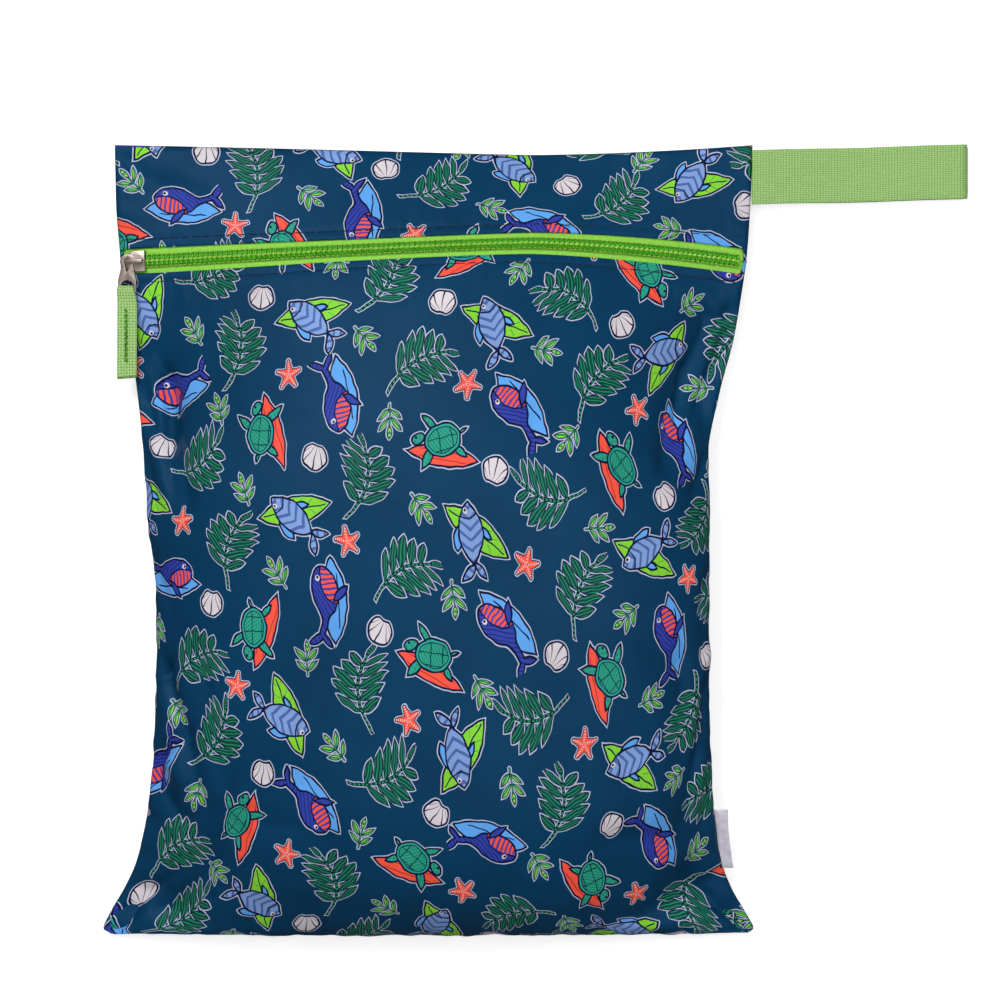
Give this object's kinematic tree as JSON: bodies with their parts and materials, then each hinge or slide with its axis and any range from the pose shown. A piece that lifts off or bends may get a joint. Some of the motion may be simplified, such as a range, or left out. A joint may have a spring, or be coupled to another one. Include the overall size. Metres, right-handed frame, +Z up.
{
  "type": "cloth wet bag",
  "caption": "Flat cloth wet bag, lightly filled, lying on its back: coil zip across the front near the top, metal pull with a webbing tab, folded hang strap and blank side label.",
  "frame": {"origin": "middle of the flat back, on the surface that the bag lies on", "axes": "+X to the right across the front, towards the hang strap; +Y to the top seam; +Z up, out of the front"},
  "size_m": [0.3987, 0.3632, 0.0773],
  "materials": {
    "printed_cloth": "smooth woven polyester with a printed all-over pattern",
    "zip_tape": "matt woven tape",
    "zip_coil": "satin nylon coil",
    "slider_metal": "satin die-cast metal",
    "webbing": "ribbed polypropylene webbing",
    "label_satin": "satin ribbon"
  },
  "bodies": {
    "bag": {"front_panel": "printed_cloth", "top_band": "printed_cloth", "back_panel": "printed_cloth", "zip_tape_lower": "zip_tape", "zip_tape_upper": "zip_tape", "zip_coil_lower": "zip_coil", "zip_coil_upper": "zip_coil", "zip_slider": "slider_metal", "hang_strap": "webbing", "side_label": "label_satin"},
    "pull": {"zip_pull": "slider_metal", "pull_tab": "webbing"}
  },
  "joints": [
    {"name": "pull_swivel", "type": "hinge", "parent": "bag", "child": "pull", "pos_m": [-0.13952, 0.12852, 0.01766], "axis": [-0.2223, 0.014, 0.9749], "range_deg": [-170, 0]}
  ]
}
